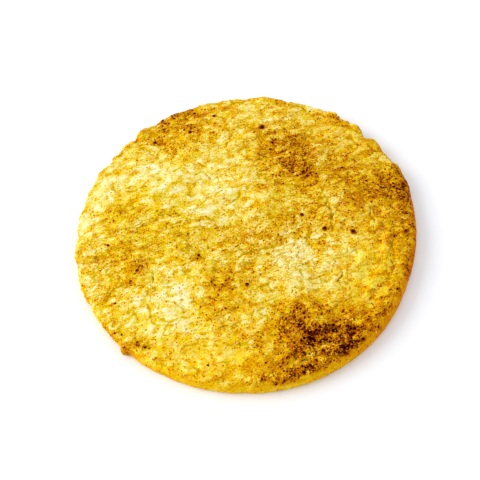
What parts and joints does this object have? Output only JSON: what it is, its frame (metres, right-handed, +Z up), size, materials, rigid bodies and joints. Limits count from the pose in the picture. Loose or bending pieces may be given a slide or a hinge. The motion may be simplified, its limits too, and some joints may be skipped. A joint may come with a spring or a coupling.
{
  "type": "snickerdoodle cookie",
  "caption": "Flat round baked cookie with a low domed, crackled crust, a crumbly thin rim on one side and a smooth rounded wall on the other, lying on a flat base.",
  "frame": {"origin": "bottom centre of the cookie's box, on the flat base", "axes": "+Z up through the thickness, +X to the right of the picture, +Y away from the camera; the smooth thick side is at +X -Y and the crumbly thin rim at -X +Y"},
  "size_m": [0.0804, 0.0818, 0.0074],
  "materials": {
    "baked_dough": "dry, matte, crumbly baked dough: pale cream to golden sugar crust with brown cinnamon patches, smooth golden side wall, browned underside"
  },
  "bodies": {
    "root": {"snickerdoodle": "baked_dough"}
  },
  "joints": []
}
